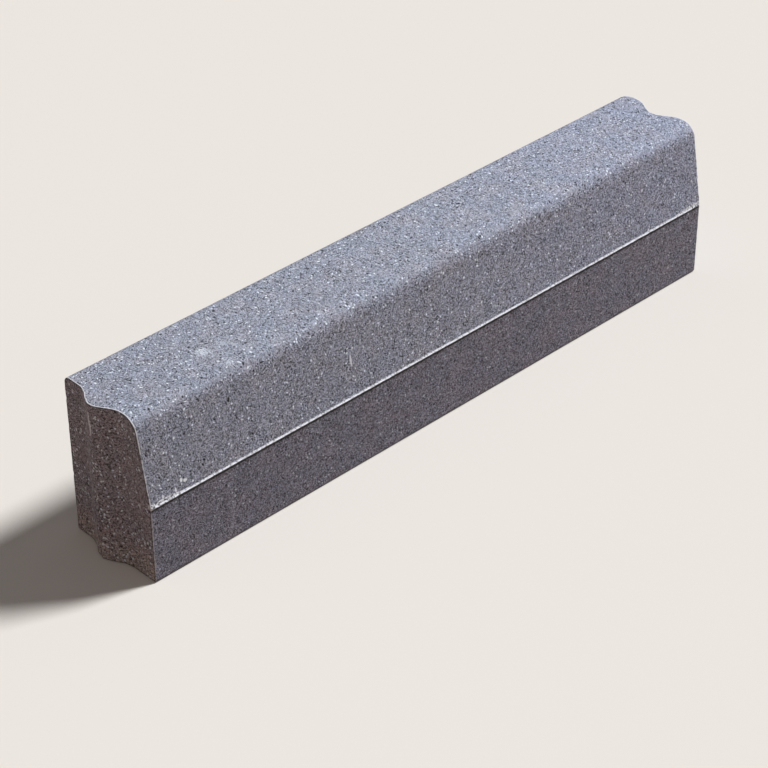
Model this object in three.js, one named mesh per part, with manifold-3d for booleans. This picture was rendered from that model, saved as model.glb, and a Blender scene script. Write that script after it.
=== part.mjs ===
// Precast concrete kerb stone with a battered, round-shouldered road face and ends that lock:
// a rounded tongue runs up the whole of one end, and the next kerb's tongue enters a groove
// of the same form in the other end.
//
// Millimetres. X runs along the kerb with the tongue at -X, Y from the road face to the back,
// Z up. The origin is in the bed plane, under the middle of the kerb's overall box.

import * as THREE from "three";
import { mergeVertices } from "three/addons/utils/BufferGeometryUtils.js";
import Module from "manifold-3d";

// Driving dimensions
const bodyLength = 998;        // between the two flat end faces
const baseWidth = 150;         // over the upright lower part of the section
const topWidth = 130;          // from the back to where batter and top would meet in a corner
const kerbHeight = 230;        // bed to top
const creaseHeight = 112;      // bed to the foot of the batter
const shoulderRadius = 22;     // between batter and top, on the road side
const backArrisRadius = 10;    // between top and back
const bedArrisRadius = 3;      // both long edges of the bed
const endArrisRadius = 2;      // three of the upright corners
const grooveBackRadius = 22;   // upright corner between back and groove end
const lockFromBack = 67;       // back face to the middle of tongue and groove
const lockWidth = 80;          // tongue or groove across its foot
const lockDepth = 16;          // tongue out of its end face, groove into its own
const lockFootRadius = 27;     // where tongue or groove runs out in the end face
const lockCrestRadius = 21;    // over the crest of the tongue or the bottom of the groove
const jointGap = 2;            // between two kerbs as laid, all round tongue and groove
const lipReach = 2;            // lip at the mould's joint, proud of the lower face
const lipEdge = 1;             // thickness of the lip at its tip
const lipDrop = 3;             // height of the lip at its root
const lipRoot = 1;             // how far the lip's own section starts inside the block
const chordError = 0.04;       // most that a facet may leave its arc
const concreteColour = 0x7c7e86;

// Planes of the block
const frontY = (lipReach - baseWidth) / 2;
const backY = frontY + baseWidth;
const tongueFaceX = (lockDepth - bodyLength) / 2;
const grooveFaceX = tongueFaceX + bodyLength;
const lockY = backY - lockFromBack;

// Points along a circular arc, with angles in radians; an even count of steps, so that the
// middle of the arc is one of them
function arc(centreX, centreY, radius, start, end) {
  const stepAngle = 2 * Math.acos(1 - chordError / radius);
  const steps = 2 * Math.ceil(Math.abs(end - start) / (2 * stepAngle));
  const curve = new THREE.EllipseCurve(centreX, centreY, radius, radius, start, end, end < start);
  return curve.getPoints(steps);
}

// Cross-section in Y and Z: upright lower face, batter, round shoulder, flat top, upright back
function sectionOutline() {
  const batterAngle = Math.atan2(baseWidth - topWidth, kerbHeight - creaseHeight);
  const shoulderZ = kerbHeight - shoulderRadius;
  const batterYAtShoulder = frontY + (shoulderZ - creaseHeight) * Math.tan(batterAngle);
  const shoulderY = batterYAtShoulder + shoulderRadius / Math.cos(batterAngle);
  const backArrisY = backY - backArrisRadius;
  const backArrisZ = kerbHeight - backArrisRadius;
  return [
    ...arc(frontY + bedArrisRadius, bedArrisRadius, bedArrisRadius, Math.PI, 1.5 * Math.PI),
    ...arc(backY - bedArrisRadius, bedArrisRadius, bedArrisRadius, -0.5 * Math.PI, 0),
    ...arc(backArrisY, backArrisZ, backArrisRadius, 0, 0.5 * Math.PI),
    ...arc(shoulderY, shoulderZ, shoulderRadius, 0.5 * Math.PI, Math.PI - batterAngle),
    new THREE.Vector2(frontY, creaseHeight),
  ];
}

// Lip in Y and Z, where the mould's two halves meet at the foot of the batter: flat on top,
// sloping back to the lower face underneath
function lipOutline() {
  return [
    new THREE.Vector2(frontY + lipRoot, creaseHeight),
    new THREE.Vector2(frontY - lipReach, creaseHeight),
    new THREE.Vector2(frontY - lipReach, creaseHeight - lipEdge),
    new THREE.Vector2(frontY, creaseHeight - lipDrop),
    new THREE.Vector2(frontY + lipRoot, creaseHeight - lipDrop),
  ];
}

// Tongue or groove in plan, from front to back: an arc at each foot, straight flanks, and an
// arc over the crest, all meeting on common tangents. Each end's radii leave the nominal ones
// by half the joint gap, one way on the tongue and the other way in the groove, so that the
// laid joint is equally wide all along. Radii too large for the width and depth are reduced
// until the arcs meet without a flank.
function lockOutline(faceX, crestGrowth) {
  const halfWidth = lockWidth / 2;
  const largestSum = (halfWidth ** 2 + lockDepth ** 2) / (2 * lockDepth);
  const share = Math.min(1, largestSum / (lockFootRadius + lockCrestRadius));
  const footRadius = lockFootRadius * share - crestGrowth;
  const crestRadius = lockCrestRadius * share + crestGrowth;
  const radiiSum = footRadius + crestRadius;
  const centresRise = radiiSum - lockDepth;
  const flankSquared = halfWidth ** 2 + centresRise ** 2 - radiiSum ** 2;
  const flankLength = Math.sqrt(Math.max(0, flankSquared));
  const arcAngle = Math.atan2(halfWidth, centresRise) - Math.atan2(flankLength, radiiSum);
  const footX = faceX - footRadius;
  const crestX = faceX - lockDepth + crestRadius;
  const crest = arc(crestX, lockY, crestRadius, Math.PI + arcAngle, Math.PI - arcAngle);
  return [
    ...arc(footX, lockY - halfWidth, footRadius, 0, arcAngle),
    ...(flankLength > chordError ? crest : crest.slice(1, -1)),
    ...arc(footX, lockY + halfWidth, footRadius, -arcAngle, 0),
  ];
}

// Plan in X and Y: straight long sides, groove at +X, tongue at -X, and eased upright corners,
// of which the one between back and groove end is well rounded, as far as the flat beside the
// groove has room for it
function planOutline() {
  const cornerFrontY = frontY + endArrisRadius;
  const cornerBackY = backY - endArrisRadius;
  const cornerTongueX = tongueFaceX + endArrisRadius;
  const cornerGrooveX = grooveFaceX - endArrisRadius;
  const flatBesideGroove = lockFromBack - lockWidth / 2;
  const roundedRadius = Math.min(grooveBackRadius, flatBesideGroove - endArrisRadius);
  const roundedX = grooveFaceX - roundedRadius;
  const roundedY = backY - roundedRadius;
  return [
    ...arc(cornerGrooveX, cornerFrontY, endArrisRadius, -0.5 * Math.PI, 0),
    ...lockOutline(grooveFaceX, jointGap / 2),
    ...arc(roundedX, roundedY, roundedRadius, 0, 0.5 * Math.PI),
    ...arc(cornerTongueX, cornerBackY, endArrisRadius, 0.5 * Math.PI, Math.PI),
    ...lockOutline(tongueFaceX, -jointGap / 2).reverse(),
    ...arc(cornerTongueX, cornerFrontY, endArrisRadius, Math.PI, 1.5 * Math.PI),
  ];
}

function extrude(outline, depth) {
  return new THREE.ExtrudeGeometry(new THREE.Shape(outline), { depth, bevelEnabled: false });
}

// Bar along X between two planes, from an outline drawn in Y and Z
function barAlongX(outline, startX, endX) {
  const alongY = new THREE.Vector3(0, 1, 0);
  const alongZ = new THREE.Vector3(0, 0, 1);
  const alongX = new THREE.Vector3(1, 0, 0);
  const turned = new THREE.Matrix4().makeBasis(alongY, alongZ, alongX).setPosition(startX, 0, 0);
  return extrude(outline, endX - startX).applyMatrix4(turned);
}

const wasm = await Module();
wasm.setup();

function toSolid(geometry) {
  const bare = geometry.clone();
  bare.deleteAttribute("normal");
  bare.deleteAttribute("uv");
  const merged = mergeVertices(bare);
  const vertProperties = new Float32Array(merged.attributes.position.array);
  const triVerts = new Uint32Array(merged.index.array);
  return new wasm.Manifold(new wasm.Mesh({ numProp: 3, vertProperties, triVerts }));
}

function toGeometry(solid) {
  const { vertProperties, triVerts } = solid.getMesh();
  const geometry = new THREE.BufferGeometry();
  geometry.setAttribute("position", new THREE.BufferAttribute(vertProperties, 3));
  geometry.setIndex(new THREE.BufferAttribute(triVerts, 1));
  const flat = geometry.toNonIndexed();
  flat.computeVertexNormals();
  return flat;
}

// The section runs past both ends and the plan past the top and the bed, so that what they
// share is the block, with the section's faces on its sides and the plan's on its ends.
function kerbGeometry() {
  const spare = lockDepth + endArrisRadius;
  const sectionBar = barAlongX(sectionOutline(), tongueFaceX - 2 * spare, grooveFaceX + spare);
  const planColumn = extrude(planOutline(), kerbHeight + 2 * spare).translate(0, 0, -spare);
  const lip = barAlongX(lipOutline(), tongueFaceX + endArrisRadius, grooveFaceX - endArrisRadius);
  return toGeometry(toSolid(sectionBar).intersect(toSolid(planColumn)).add(toSolid(lip)));
}

const concrete = new THREE.MeshStandardMaterial({
  color: concreteColour,
  roughness: 0.9,
  metalness: 0,
});

const kerbStone = new THREE.Mesh(kerbGeometry(), concrete);
kerbStone.name = "kerb_stone";

const kerb = new THREE.Group();
kerb.add(kerbStone);

export default kerb;
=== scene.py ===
"""A precast concrete kerb stone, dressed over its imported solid, on a pale floor in soft light.

Metres, in the solid's own frame: X runs along the kerb with the tongue at -X, Y from the road
face to the back, and Z up from the bed.
"""
import math

import bmesh
import bpy
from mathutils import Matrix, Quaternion, Vector, geometry, noise


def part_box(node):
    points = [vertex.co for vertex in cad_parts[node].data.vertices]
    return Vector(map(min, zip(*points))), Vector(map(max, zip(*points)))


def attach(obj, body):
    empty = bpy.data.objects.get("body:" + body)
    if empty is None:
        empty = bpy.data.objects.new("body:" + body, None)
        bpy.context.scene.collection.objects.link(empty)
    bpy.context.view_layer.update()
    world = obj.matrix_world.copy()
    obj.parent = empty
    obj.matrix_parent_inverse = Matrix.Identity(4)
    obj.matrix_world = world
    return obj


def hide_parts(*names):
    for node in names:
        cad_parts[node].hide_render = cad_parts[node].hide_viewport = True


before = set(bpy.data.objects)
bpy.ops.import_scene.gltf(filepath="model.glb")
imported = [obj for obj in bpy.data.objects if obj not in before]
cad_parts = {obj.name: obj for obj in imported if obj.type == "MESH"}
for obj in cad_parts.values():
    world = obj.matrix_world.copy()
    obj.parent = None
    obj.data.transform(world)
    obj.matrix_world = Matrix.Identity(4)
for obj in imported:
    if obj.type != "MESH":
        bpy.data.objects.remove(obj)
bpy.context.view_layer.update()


# ----------------------------------------------------------------------------------------
# Kerb stone: one block of fine-grained grey concrete, pressed and vibrated in a steel mould.
# The mould parts at the foot of the batter, where a thin ragged lip of pale cement stays.
# Its ends lock: a tongue stands up the whole of one end, and the other has the groove for it.
# ----------------------------------------------------------------------------------------

MM = 0.001
TINY = 1e-6

# Cross-section: front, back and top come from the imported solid
lip_reach = 2 * MM
lip_edge = 1 * MM
lip_drop = 3 * MM
crease_z = 112 * MM
top_width = 130 * MM
shoulder_radius = 22 * MM
back_arris_radius = 10 * MM
bed_arris_radius = 3 * MM

block_low, block_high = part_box("kerb_stone")
front_y = block_low.y + lip_reach
back_y = block_high.y
top_z = block_high.z
batter_angle = math.atan2(back_y - front_y - top_width, top_z - crease_z)
shoulder_z = top_z - shoulder_radius
batter_y_at_shoulder = front_y + (shoulder_z - crease_z) * math.tan(batter_angle)
shoulder_y = batter_y_at_shoulder + shoulder_radius / math.cos(batter_angle)

# Tongue and groove in plan: an arc at each foot, straight flanks and an arc over the crest
lock_depth = 16 * MM
lock_half_width = 40 * MM
lock_foot_radius = 27 * MM
lock_crest_radius = 21 * MM
lock_y = back_y - 67 * MM
joint_gap = 2 * MM
tongue_face_x = block_low.x + lock_depth
groove_face_x = block_high.x
groove_back_radius = 22 * MM

# Mesh fineness: points are closest together where the lip is most ragged, by the ends
face_step = 3.2 * MM
closest_step = 1.3 * MM
widest_step = 2.9 * MM
close_stretch = 70 * MM
end_face_step = 3.4 * MM
row_above_lip = 0.9 * MM

# Waviness of the cast faces, which lie a little under their true planes
mean_hollow = 0.14 * MM
wave_depth = 0.10 * MM
ripple_depth = 0.015 * MM
dent_depth = 0.06 * MM

# Wear of the arrises round the end faces
arris_radius = 1.2 * MM
most_arris_wear = 2.6 * MM
least_inset = 2.4 * MM
inside_arris = 0.5 * MM
past_arris = 0.7 * MM

# Round an arris, from the end face to the sides: the share of the turn made, the way past it,
# and how the skin looks there, from -1 for a painted shade line beside the arris to 1 for a
# painted highlight on an arris rubbed pale
arris_steps = (
    (0.0, 0.0, -1.0),
    (0.25, 0.0, -0.7),
    (0.5, 0.0, 0.6),
    (0.75, 0.0, 1.0),
    (1.0, 0.0, 1.0),
    (1.0, past_arris, 0.0),
)


def straight(start, end, step):
    """Section points from start towards end, without the end itself."""
    count = max(1, round((end - start).length / step))
    return [start.lerp(end, index / count) for index in range(count)]


def bend(centre_y, centre_z, radius, first, last, count):
    """Section points along an arc, in degrees from +Y towards +Z, without the last one."""
    points = []
    for index in range(count):
        angle = math.radians(first + (last - first) * index / count)
        points.append(Vector((centre_y + radius * math.cos(angle), centre_z + radius * math.sin(angle))))
    return points


def section_ring():
    """The section without its lip, from the front bed arris round by the back and the top. The
    bed and the back are plain, so their points lie wider apart than the others.
    """
    batter_turn = 180 - math.degrees(batter_angle)
    front_foot = Vector((front_y, bed_arris_radius))
    crease = Vector((front_y, crease_z))
    shoulder_end = Vector((
        shoulder_y - shoulder_radius * math.cos(batter_angle),
        shoulder_z + shoulder_radius * math.sin(batter_angle),
    ))
    bed_front = Vector((front_y + bed_arris_radius, 0))
    bed_back = Vector((back_y - bed_arris_radius, 0))
    back_foot = Vector((back_y, bed_arris_radius))
    back_head = Vector((back_y, top_z - back_arris_radius))
    top_back = Vector((back_y - back_arris_radius, top_z))
    top_front = Vector((shoulder_y, top_z))
    above_crease = crease.lerp(shoulder_end, row_above_lip / (shoulder_end - crease).length)
    lip_points = [crease - Vector((0, drop * MM)) for drop in (0, 0.3, 0.65, 1.0, 1.6, 2.3)]
    lip_root = crease - Vector((0, lip_drop))
    return [
        *bend(bed_front.x, bed_arris_radius, bed_arris_radius, 180, 270, 4),
        *straight(bed_front, bed_back, 4 * face_step),
        *bend(bed_back.x, bed_arris_radius, bed_arris_radius, 270, 360, 4),
        *straight(back_foot, back_head, 1.4 * face_step),
        *bend(top_back.x, back_head.y, back_arris_radius, 0, 90, 8),
        *straight(top_back, top_front, face_step),
        *bend(shoulder_y, shoulder_z, shoulder_radius, 90, batter_turn, 14),
        *straight(shoulder_end, above_crease, face_step),
        above_crease,
        *lip_points,
        *straight(lip_root, front_foot, face_step),
    ]


ring = section_ring()
ring_size = len(ring)


def inward_at(index):
    """Unit vector into the concrete at a point of the ring, midway between its two sides'."""
    before = (ring[index] - ring[index - 1]).normalized()
    after = (ring[(index + 1) % ring_size] - ring[index]).normalized()
    chord = before + after
    return Vector((-chord.y, chord.x)).normalized()


inward = [inward_at(index) for index in range(ring_size)]


def lip_share(point):
    """How much of the lip's reach a section point takes: all of it at the tip, none at the root."""
    drop = crease_z - point.y
    if point.x > front_y + TINY or not TINY < drop < lip_drop:
        return 0.0
    return min(1.0, (lip_drop - drop) / (lip_drop - lip_edge))


lip_shares = [lip_share(point) for point in ring]


def lock_rise(across, growth):
    """How far tongue or groove stands from its end face, at a distance across from its middle.
    By growth the crest's radius is larger than the nominal one, and the foot's is smaller.
    """
    foot = lock_foot_radius - growth
    crest = lock_crest_radius + growth
    rise = foot + crest - lock_depth
    flank = math.sqrt(lock_half_width ** 2 + rise ** 2 - (foot + crest) ** 2)
    turn = math.atan2(lock_half_width, rise) - math.atan2(flank, foot + crest)
    across = abs(across)
    if across >= lock_half_width:
        return 0.0
    crest_end = crest * math.sin(turn)
    if across <= crest_end:
        return lock_depth - crest + math.sqrt(crest ** 2 - across ** 2)
    if across >= lock_half_width - foot * math.sin(turn):
        return foot - math.sqrt(foot ** 2 - (lock_half_width - across) ** 2)
    return lock_depth - crest * (1 - math.cos(turn)) - (across - crest_end) * math.tan(turn)


def tongue_x(y):
    return tongue_face_x - lock_rise(y - lock_y, -joint_gap / 2)


def groove_x(y):
    """The groove end in plan, with its well rounded corner at the back."""
    into_corner = min(groove_back_radius, max(0.0, y - back_y + groove_back_radius))
    corner = groove_back_radius - math.sqrt(groove_back_radius ** 2 - into_corner ** 2)
    return groove_face_x - corner - lock_rise(y - lock_y, joint_gap / 2)


def smooth(value, low, high):
    """0 below low and 1 above high, with an easy curve between."""
    share = min(1.0, max(0.0, (value - low) / (high - low)))
    return share * share * (3 - 2 * share)


def hollow(place):
    """How deep a cast face lies under its true plane: the mould's waves, and dents in the skin."""
    wave = noise.noise(place / (90 * MM))
    ripple = noise.noise(place / (17 * MM) + Vector((7, 3, 5)))
    dent = smooth(noise.noise(place / (9 * MM) + Vector((1, 8, 2))), 0.45, 0.75)
    return mean_hollow + wave_depth * wave + ripple_depth * ripple + dent_depth * dent


def arris_wear(place):
    """Radius of the arris round an end face: nearly sharp, with a few small chips."""
    uneven = 0.4 * noise.noise(place / (11 * MM))
    chip = smooth(noise.noise(place / (5.5 * MM) + Vector((4, 4, 9))), 0.3, 0.65)
    above_bed = smooth(place.z, bed_arris_radius, 3 * bed_arris_radius)
    return min(most_arris_wear, arris_radius * (0.95 + (uneven + 1.5 * chip) * above_bed))


def lip_here(x):
    """Share of its full reach that the lip keeps along the kerb; it is broken back by the ends."""
    ragged = noise.noise(Vector((x / (9 * MM), 2, 0))) + 0.8 * noise.noise(Vector((x / (3.3 * MM), 5, 0)))
    chip = smooth(noise.noise(Vector((x / (26 * MM), 9, 0))), 0.42, 0.6)
    from_tongue = smooth(x - tongue_face_x, 1 * MM, 3 * MM)
    from_groove = smooth(groove_face_x - x, 1 * MM, 3 * MM)
    broken = 1 - smooth(x - tongue_face_x, 20 * MM, 60 * MM)
    share = 0.8 + (0.26 + 0.1 * broken) * ragged - 0.3 * chip
    return min(1.0, max(0.12, share)) * from_tongue * from_groove


def stations():
    """Distances along the kerb from the tongue's end to the groove's, between the arrises."""
    length = groove_face_x - tongue_face_x
    places = [most_arris_wear + 2 * past_arris]
    while places[-1] < length - most_arris_wear - widest_step:
        from_end = min(places[-1], length - places[-1])
        step = closest_step + (widest_step - closest_step) * smooth(from_end, 0, close_stretch)
        places.append(places[-1] + step)
    return places


kerb_mesh = bmesh.new()
# Each vertex by an end arris keeps its look: rubbed pale with a painted highlight, or a line of painted
# shade beside it
arris_look_layer = kerb_mesh.verts.layers.float.new("arris_rub_highlight_shade")


def arris_ring(end_x, side, turn, past, look, inner=False):
    """One ring of vertices round an end's arris; turn runs from 0 at the face to 1 at the sides,
    and past is the way beyond the turn along them. The inner ring lies inside the end face.
    """
    angle = math.pi / 2 * turn
    made = []
    for point, into in zip(ring, inward):
        corner = Vector((end_x(point.x), point.x, point.y))
        radius = arris_wear(corner)
        depth = hollow(corner)
        inset = radius * (1 - math.sin(angle))
        if inner:
            inset = max(least_inset, radius + inside_arris)
        moved = point + into * (inset + depth)
        along = radius * (1 - math.cos(angle)) + depth + past
        vertex = kerb_mesh.verts.new((end_x(moved.x) + side * along, moved.x, moved.y))
        # The well rounded corner at the back of the groove end has no arris to be rubbed, and gets neither
        # painted highlight nor painted shade
        well_rounded = side < 0 and point.x > back_y - TINY
        vertex[arris_look_layer] = 0.0 if well_rounded else look
        made.append(vertex)
    return made


def arris_rings(end_x, side):
    """The rings round an end's arris, from one a little inside the end face to the sides."""
    inner_ring = arris_ring(end_x, side, 0.0, 0.0, 0.0, inner=True)
    return [inner_ring] + [arris_ring(end_x, side, *step) for step in arris_steps]


def body_ring(distance):
    """One ring of vertices round the sides, at a distance from the tongue's end face."""
    share = distance / (groove_face_x - tongue_face_x)
    made = []
    for point, into, lip in zip(ring, inward, lip_shares):
        x = tongue_x(point.x) * (1 - share) + groove_x(point.x) * share
        moved = point + into * hollow(Vector((x, point.x, point.y)))
        y = moved.x - lip * lip_here(x) * lip_reach
        made.append(kerb_mesh.verts.new((x, y, moved.y)))
    return made


def close_end(end_x, side, rim):
    """Fills an end inside its arris with an even net of triangles on the lock's curve."""
    outline = [Vector((vertex.co.y, vertex.co.z)) for vertex in rim]
    edges = [(index, (index + 1) % ring_size) for index in range(ring_size)]
    # Every third side of the outline is enough to tell which points of the net lie inside
    sides = [(outline[a], (outline[b] - outline[a]).normalized()) for a, b in edges if a % 3 == 0]
    margin = 0.6 * end_face_step
    net = []
    rows = int(top_z / end_face_step)
    columns = int((back_y - front_y) / end_face_step)
    for row in range(1, rows):
        for column in range(columns + 1):
            shift = 0.5 * (row % 2)
            spot = Vector((front_y + (column + shift) * end_face_step, row * end_face_step))
            if all(way.cross(spot - start) > margin for start, way in sides):
                net.append(spot)
    made = list(rim)
    for spot in net:
        place = Vector((end_x(spot.x), spot.x, spot.y))
        made.append(kerb_mesh.verts.new((place.x + side * hollow(place), spot.x, spot.y)))
    _, _, triangles, sources, _, _ = geometry.delaunay_2d_cdt(outline + net, edges, [], 1, TINY)
    for corners in triangles:
        kerb_mesh.faces.new([made[sources[corner][0]] for corner in corners])


tongue_arris = arris_rings(tongue_x, 1)
groove_arris = arris_rings(groove_x, -1)
rings = tongue_arris + [body_ring(distance) for distance in stations()] + groove_arris[::-1]
for ring_a, ring_b in zip(rings, rings[1:]):
    for index in range(ring_size):
        after = (index + 1) % ring_size
        kerb_mesh.faces.new((ring_a[index], ring_a[after], ring_b[after], ring_b[index]))
close_end(tongue_x, 1, tongue_arris[0])
close_end(groove_x, -1, groove_arris[0])
bmesh.ops.recalc_face_normals(kerb_mesh, faces=kerb_mesh.faces)
for face in kerb_mesh.faces:
    face.smooth = True

kerb_data = bpy.data.meshes.new("kerb_block")
kerb_mesh.to_mesh(kerb_data)
kerb_mesh.free()
# The faces are shaded smoothly, but for edges as sharp as the lip's
kerb_data.set_sharp_from_angle(angle=math.radians(50))
kerb_block = bpy.data.objects.new("kerb_block", kerb_data)
bpy.context.scene.collection.objects.link(kerb_block)


class Value:
    """A number or vector that varies over a surface; arithmetic on it adds Math nodes."""

    def __init__(self, finish, socket):
        self.finish = finish
        self.socket = socket

    def __add__(self, other):
        return self.finish.math("ADD", self, other)

    def __radd__(self, other):
        return self.finish.math("ADD", other, self)

    def __sub__(self, other):
        return self.finish.math("SUBTRACT", self, other)

    def __rsub__(self, other):
        return self.finish.math("SUBTRACT", other, self)

    def __mul__(self, other):
        return self.finish.math("MULTIPLY", self, other)

    def __rmul__(self, other):
        return self.finish.math("MULTIPLY", other, self)


class Finish:
    """The node tree of a material or of the room's light, built one node at a time."""

    def __init__(self, owner):
        self.owner = owner
        owner.use_nodes = True
        self.tree = owner.node_tree
        self.tree.nodes.clear()

    def node(self, kind, settings, inputs, *outputs):
        """Adds a node, its settings first and then its sockets; gives the outputs asked for."""
        made = self.tree.nodes.new(kind)
        for name, setting in settings.items():
            setattr(made, name, setting)
        for name, value in inputs.items():
            if isinstance(value, Value):
                self.tree.links.new(value.socket, made.inputs[name])
            else:
                made.inputs[name].default_value = value
        values = [Value(self, made.outputs[name]) for name in outputs]
        return values[0] if len(values) == 1 else values

    def math(self, operation, first, second):
        return self.node("ShaderNodeMath", {"operation": operation}, {0: first, 1: second}, 0)

    def vector(self, operation, first, second):
        return self.node("ShaderNodeVectorMath", {"operation": operation}, {0: first, 1: second}, 0)

    def ramp(self, value, low, high):
        """0 where value is at low and 1 where it is at high, eased between."""
        sockets = {"Value": value, "From Min": low, "From Max": high}
        return self.node("ShaderNodeMapRange", {"interpolation_type": "SMOOTHSTEP"}, sockets, 0)

    def blend(self, factor, first, second):
        """The first colour where factor is 0 and the second where it is 1. A Mix node's sockets
        for colours are its inputs 6 and 7 and its output 2.
        """
        settings = {"data_type": "RGBA", "clamp_factor": True}
        return self.node("ShaderNodeMix", settings, {0: factor, 6: first, 7: second}, 2)

    def scaled(self, colour, factor):
        """A colour made darker or lighter by a factor that may vary."""
        return self.node("ShaderNodeVectorMath", {"operation": "SCALE"}, {0: colour, "Scale": factor}, 0)

    def clouds(self, place, size, detail=2.0, roughness=0.5, output="Fac"):
        """Noise between 0 and 1, about 0.5 on average, with blobs about as wide as size."""
        sockets = {"Vector": place, "Scale": 1 / size, "Detail": detail, "Roughness": roughness}
        return self.node("ShaderNodeTexNoise", {}, sockets, output)

    def grains(self, place, size):
        """Cells about as wide as size: distance from the cell's middle, and two draws per cell."""
        sockets = {"Vector": place, "Scale": 1 / size}
        distance, colour = self.node("ShaderNodeTexVoronoi", {}, sockets, "Distance", "Color")
        draw, tone = self.node("ShaderNodeSeparateColor", {}, {0: colour}, 0, 1)
        return distance, draw, tone


concrete = Finish(bpy.data.materials.new("kerb_concrete"))
place, facing = concrete.node("ShaderNodeTexCoord", {}, {}, "Object", "Normal")
along, across, height = concrete.node("ShaderNodeSeparateXYZ", {}, {0: place}, 0, 1, 2)
facing_along, facing_up = concrete.node("ShaderNodeSeparateXYZ", {}, {0: facing}, 0, 2)
# The look stored along the end arrises: rubbed paleness with a painted highlight, and painted shade
arris_rub_highlight_shade = concrete.node("ShaderNodeAttribute", {"attribute_name": "arris_rub_highlight_shade"}, {}, "Fac")

# Which face of the block a point is on; the turn from a side to the top is worn smoother
on_top = concrete.ramp(facing_up, 0.5, 0.86)
on_turn = 4 * on_top * (1 - on_top)
on_tongue_end = concrete.ramp(0 - facing_along, 0.63, 0.84)
on_front = 1 - concrete.ramp(across, front_y + 2 * MM, front_y + 6 * MM)
below_lip = on_front * (1 - concrete.ramp(height, crease_z - 2 * MM, crease_z))

# The top is painted paler than the moulded sides and the upright lower face darkest, painted
# light and shade from the way the light falls on them; the tongue end, in shade, has its own
# browner grey with a painted warm bounce of light, paler still at its foot; towards the groove
# end the kerb gets a little paler
lit_top_grey = (0.299, 0.322, 0.402, 1)
shaded_side_grey = (0.254, 0.266, 0.334, 1)
shaded_lower_grey = (0.179, 0.176, 0.227, 1)
tongue_end_shade_grey = (0.258, 0.232, 0.272, 1)
painted_bounce = (0.50, 0.42, 0.38, 1)
skin = concrete.blend(on_top, shaded_side_grey, lit_top_grey)
skin = concrete.blend(below_lip, skin, shaded_lower_grey)
# The tongue end gets its own browner grey: painted shade with a warm painted bounce of light
skin = concrete.blend(on_tongue_end, skin, tongue_end_shade_grey)
# The foot of the tongue end is painted paler and warmer: a painted bounce of light from the floor
painted_foot_bounce = on_tongue_end * (1 - concrete.ramp(height, 0, 60 * MM))
skin = concrete.blend(0.6 * painted_foot_bounce, skin, painted_bounce)
skin = concrete.scaled(skin, 1.04 + 0.17 * along * (1 - on_tongue_end))

# Towards the groove end the faces above the lip are bluer, too
unchanged = (1, 1, 1, 1)
far_blue = (1.0, 1.03, 1.13, 1)
length_tint = concrete.blend(along * (1 - below_lip), unchanged, far_blue)
skin = concrete.vector("MULTIPLY", skin, length_tint)

# Sand and cement: fine grains of many tones, in patches a little bluer or browner, with faint
# upright streaks from the mould's walls. The grains' places are stirred, so that they lie in
# no rows
sand = concrete.clouds(place, 1.5 * MM, 2.0, 0.65)
patches = concrete.clouds(place, 32 * MM, 3.0, 0.6)
ragged = concrete.clouds(place, 5 * MM, 3.0, 0.7)
drawn = concrete.clouds(concrete.vector("MULTIPLY", place, (1, 1, 0.1)), 3.5 * MM)
swirl = concrete.clouds(place, 12 * MM, 0.0, 0.5, "Color")
stirred = concrete.vector("ADD", place, concrete.scaled(swirl, 7 * MM))
_, _, tone = concrete.grains(stirred, 1.4 * MM)
bluer = (0.972, 1.004, 1.028, 1)
browner = (1.028, 0.996, 0.972, 1)
hue = concrete.blend(concrete.ramp(patches, 0.35, 0.7), bluer, browner)
contrast = 1.84 - 0.4 * on_top - 0.6 * on_turn + 0.2 * below_lip + 0.1 * on_tongue_end
grain_tone = 1.6 * sand + 0.9 * tone + 0.1 * patches + 0.15 * drawn - 1.375
grain_tone = concrete.math("MAXIMUM", 1 + contrast * grain_tone, 0.2)
colour = concrete.scaled(concrete.vector("MULTIPLY", skin, hue), grain_tone)

# Round white quartz grains, and pin holes painted dark with the shade inside them, most of them
# on the top
white_quartz = (0.80, 0.88, 1.0, 1)
distance, draw, size = concrete.grains(stirred, 3.8 * MM)
quartz = concrete.math("LESS_THAN", draw, 0.15 + 0.05 * on_top - 0.03 * below_lip + 0.12 * on_tongue_end)
quartz_size = 0.18 * size + 0.02 * on_top + 0.08 * on_tongue_end
quartz = quartz * (1 - concrete.ramp(distance - quartz_size, 0.15, 0.25))
quartz = quartz * (1 - 0.45 * below_lip)
colour = concrete.blend(quartz, colour, white_quartz)
apart = concrete.vector("ADD", stirred, (0.31, 0.17, 0.23))
distance, draw, size = concrete.grains(apart, 3.6 * MM)
pin_hole = concrete.math("LESS_THAN", draw, 0.18 + 0.03 * on_top - 0.04 * below_lip - 0.05 * on_tongue_end)
pin_hole = pin_hole * (1 - concrete.ramp(distance - 0.14 * size, 0.2, 0.29))
# Painted shade in the pin holes
colour = concrete.scaled(colour, 1 - 0.93 * pin_hole)


def reach_from(centre, half_size):
    """Distance from the middle of an ellipsoid, 1 on its skin."""
    away = concrete.vector("DIVIDE", concrete.vector("SUBTRACT", place, centre), half_size)
    return concrete.node("ShaderNodeVectorMath", {"operation": "LENGTH"}, {0: away}, "Value")


def mark(centre, half_size, strength):
    """A chip or scratch in the skin, with a ragged edge."""
    reach = reach_from(centre, half_size)
    return (1 - concrete.ramp(reach + 1.2 * (ragged - 0.5), 0.8, 1.2)) * strength


def smear(centre, half_size, strength):
    """A pale film rubbed over the tops of the grains, thinning out from its middle."""
    film = sand + 0.25 * ragged - 0.3 * reach_from(centre, half_size)
    return concrete.ramp(film, 0.38, 0.56) * strength


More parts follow.
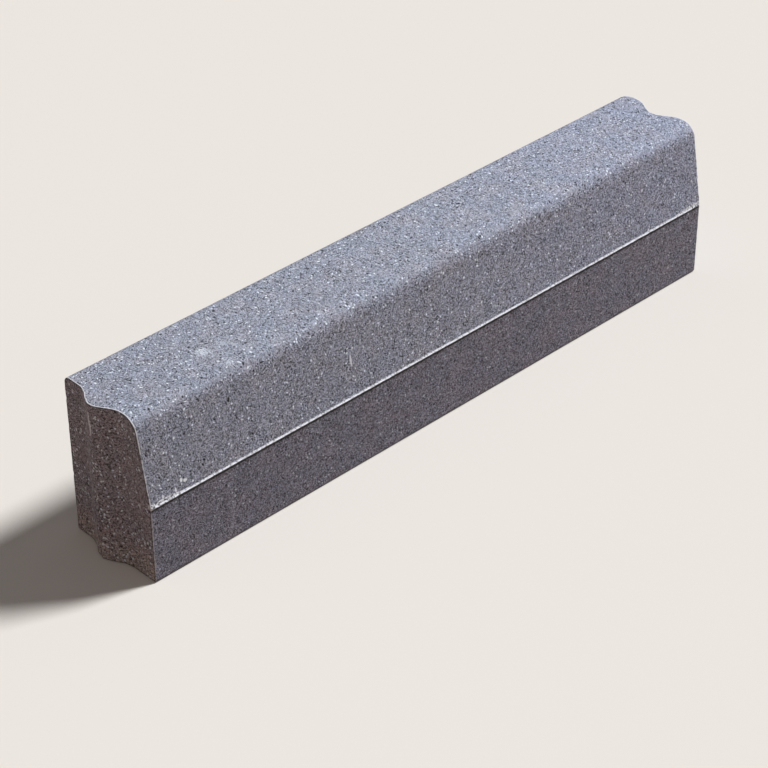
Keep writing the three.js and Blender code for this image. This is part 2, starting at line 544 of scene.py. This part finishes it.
# Films and marks by their places on the kerb: centre, half size and strength
pale_cement = (0.85, 0.88, 0.97, 1)
pale_film = (0.70, 0.77, 0.90, 1)
smears = (
    ((-0.342, -0.002, top_z), (0.012, 0.014, 0.006), 0.8),
    ((-0.333, -0.040, top_z), (0.007, 0.009, 0.006), 0.5),
    ((-0.312, -0.004, top_z), (0.009, 0.008, 0.006), 0.4),
    ((-0.304, -0.018, top_z), (0.004, 0.012, 0.006), 0.5),
)
marks = (
    ((-0.1585, -0.0655, 0.161), (0.0013, 0.006, 0.0085), 0.8),
    ((-0.1535, -0.0635, 0.1755), (0.0013, 0.003, 0.0018), 0.8),
    ((-0.4405, -0.0714, 0.1272), (0.0019, 0.004, 0.0030), 1.0),
    ((-0.4350, -0.0719, 0.1243), (0.0026, 0.004, 0.0022), 1.0),
    ((-0.4242, -0.0730, 0.1185), (0.0014, 0.003, 0.0014), 1.0),
    ((-0.4505, -0.0727, 0.1185), (0.0012, 0.003, 0.0032), 1.0),
    ((-0.4700, -0.0727, 0.1190), (0.0022, 0.003, 0.0022), 0.8),
    ((-0.5070, 0.0116, 0.2090), (0.004, 0.0014, 0.0095), 0.8),
    ((-0.5070, 0.0095, 0.1940), (0.004, 0.0014, 0.0085), 0.9),
    ((-0.4910, 0.0600, 0.1590), (0.003, 0.0014, 0.0032), 0.8),
    ((-0.4910, 0.0600, 0.2160), (0.003, 0.0018, 0.0018), 0.6),
    ((-0.5050, 0.0050, 0.0235), (0.004, 0.0030, 0.0022), 1.0),
    ((0.3975, -0.0730, 0.1150), (0.0014, 0.003, 0.0026), 1.0),
    ((0.4830, -0.0740, 0.1050), (0.0014, 0.003, 0.0014), 0.9),
)
for centre, half_size, strength in smears:
    colour = concrete.blend(smear(centre, half_size, strength), colour, pale_film)
for centre, half_size, strength in marks:
    colour = concrete.blend(mark(centre, half_size, strength), colour, pale_cement)

# Pale cement on the lip, spread wider and hollowed by the ends, with painted shade in its hollows
# and a painted shadow under it
near_tongue = 1 - concrete.ramp(along, tongue_face_x + 20 * MM, tongue_face_x + 65 * MM)
near_groove = concrete.ramp(along, groove_face_x - 60 * MM, groove_face_x - 20 * MM)
by_ends = near_tongue + near_groove
lumps = concrete.clouds(place, 3.2 * MM, 2.0, 0.6)
spread = (3.2 * by_ends + 3.6 * (lumps - 0.5)) * MM
over_lip = 1 - concrete.ramp(height - spread, crease_z + 0.8 * MM, crease_z + 1.7 * MM)
under_lip = concrete.ramp(height + 0.4 * spread, crease_z - 1.8 * MM, crease_z - 1.2 * MM)
lip_band = on_front * over_lip * under_lip
hollows = (1 - concrete.ramp(lumps, 0.38, 0.5)) * (0.5 + 0.4 * by_ends)
frayed = height + 4 * MM * (ragged - 0.5)
painted_lip_shadow = concrete.ramp(frayed, crease_z - 7.2 * MM, crease_z - 4.2 * MM) * (1 - under_lip) * on_front
# Painted shadow under the lip
colour = concrete.scaled(colour, 1 - 0.93 * painted_lip_shadow)
colour = concrete.blend(lip_band, colour, pale_cement)
# Painted shade in the lip's hollows
colour = concrete.scaled(colour, 1 - lip_band * hollows)

# Beside the end arrises the skin is rubbed pale in places, with a painted highlight on the arris and a
# thin line of painted shade on the end
rub_and_highlight = concrete.math("MAXIMUM", arris_rub_highlight_shade, 0.0) * (1 - 0.5 * below_lip)
on_flank = 1 - concrete.ramp(height, top_z - 45 * MM, top_z - 20 * MM)
rub_and_highlight = rub_and_highlight * concrete.ramp(ragged - 0.15 * on_flank, 0.2, 0.4)
shaded = concrete.math("MINIMUM", arris_rub_highlight_shade, 0.0)
colour = concrete.scaled(concrete.blend(rub_and_highlight, colour, pale_cement), 1 + 0.7 * shaded)

# Grains and quartz stand up a little, and pin holes and the lip's hollows go down
relief = 0.8 * sand + 0.12 * tone + 0.15 * quartz - 0.7 * pin_hole - lip_band * hollows
bump = {"Height": relief, "Distance": MM, "Strength": 1 - 0.45 * on_turn}
normal = concrete.node("ShaderNodeBump", {}, bump, 0)
surface = concrete.node(
    "ShaderNodeBsdfPrincipled", {},
    {"Base Color": colour, "Roughness": 0.94 - 0.14 * sand, "Normal": normal}, 0,
)
concrete.node("ShaderNodeOutputMaterial", {}, {"Surface": surface})
kerb_data.materials.append(concrete.owner)

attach(kerb_block, "root")
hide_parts("kerb_stone")


# ----------------------------------------------------------------------------------------
# Floor: a plain pale sheet just under the kerb's bed, wide enough to fill every view. It looks
# pale to the camera and throws back less light than that, warm, as open ground does.
# ----------------------------------------------------------------------------------------

floor_half = 9.0
floor_drop = 0.3 * MM
floor_pale = (0.80, 0.775, 0.74, 1)
floor_bounce = (0.32, 0.24, 0.18, 1)
floor_data = bpy.data.meshes.new("floor")
corners = [(-1, -1), (1, -1), (1, 1), (-1, 1)]
points = [(x * floor_half, y * floor_half, -floor_drop) for x, y in corners]
floor_data.from_pydata(points, [], [(0, 1, 2, 3)])
floor = bpy.data.objects.new("floor", floor_data)
bpy.context.scene.collection.objects.link(floor)

ground = Finish(bpy.data.materials.new("floor_paint"))
seen, glossy = ground.node("ShaderNodeLightPath", {}, {}, "Is Camera Ray", "Is Glossy Ray")
direct = ground.math("MAXIMUM", seen, glossy)
paint = ground.blend(direct, floor_bounce, floor_pale)
sheet = ground.node("ShaderNodeBsdfPrincipled", {}, {"Base Color": paint, "Roughness": 0.9}, 0)
ground.node("ShaderNodeOutputMaterial", {}, {"Surface": sheet})
floor_data.materials.append(ground.owner)


# ----------------------------------------------------------------------------------------
# Light: one broad key lamp high on the kerb's groove end, a weak warm fill on the tongue's
# end, and a dim even room.
# ----------------------------------------------------------------------------------------

room_level = 0.14
key_azimuth = -20
key_elevation = 48


def lamp(name, azimuth, elevation, strength, colour, width):
    """A far lamp; azimuth is counted from +X towards +Y, and width is its angle in the sky."""
    data = bpy.data.lights.new(name, "SUN")
    data.energy = strength
    data.color = colour
    data.angle = math.radians(width)
    made = bpy.data.objects.new(name, data)
    turn = math.radians(azimuth)
    rise = math.radians(elevation)
    towards = Vector((math.cos(turn) * math.cos(rise), math.sin(turn) * math.cos(rise), math.sin(rise)))
    made.rotation_mode = "QUATERNION"
    made.rotation_quaternion = towards.to_track_quat("Z", "Y")
    bpy.context.scene.collection.objects.link(made)


# The key and the room together light a level surface so that its colour shows as written
key_strength = math.pi * (1 - room_level) / math.sin(math.radians(key_elevation))
lamp("key", key_azimuth, key_elevation, key_strength, colour=(1.0, 0.99, 0.98), width=12)
lamp("fill", azimuth=178, elevation=15, strength=0.30, colour=(1.0, 0.72, 0.60), width=140)

# The room is dim as a light, and as pale as the floor where the camera sees it
room_warm = (1.0, 0.97, 0.95, 1)
room = Finish(bpy.data.worlds.new("room"))
seen = room.node("ShaderNodeLightPath", {}, {}, "Is Camera Ray")
dim = room.node("ShaderNodeBackground", {}, {"Color": room_warm, "Strength": room_level}, 0)
backdrop = room.node("ShaderNodeBackground", {}, {"Color": floor_pale}, 0)
chosen = room.node("ShaderNodeMixShader", {}, {0: seen, 1: dim, 2: backdrop}, 0)
room.node("ShaderNodeOutputWorld", {}, {"Surface": chosen})
bpy.context.scene.world = room.owner
bpy.context.scene.view_settings.view_transform = "Standard"


# ----------------------------------------------------------------------------------------
# Camera: a long lens, off the tongue's end on the road side, looking down along the kerb.
# ----------------------------------------------------------------------------------------

camera_azimuth = math.radians(-43.82)
camera_elevation = math.radians(34.94)
camera_roll = math.radians(-0.40)
camera_distance = 3.108
camera_aim = Vector((-0.1195, -0.0844, 0.1150))

camera_data = bpy.data.cameras.new("camera")
camera_data.sensor_width = 36
camera_data.lens = 116.0
camera = bpy.data.objects.new("camera", camera_data)
back = Vector((
    math.sin(camera_azimuth) * math.cos(camera_elevation),
    -math.cos(camera_azimuth) * math.cos(camera_elevation),
    math.sin(camera_elevation),
))
camera.location = camera_aim + back * camera_distance
camera.rotation_mode = "QUATERNION"
camera.rotation_quaternion = back.to_track_quat("Z", "Y") @ Quaternion((0, 0, 1), camera_roll)
bpy.context.scene.collection.objects.link(camera)
bpy.context.scene.camera = camera
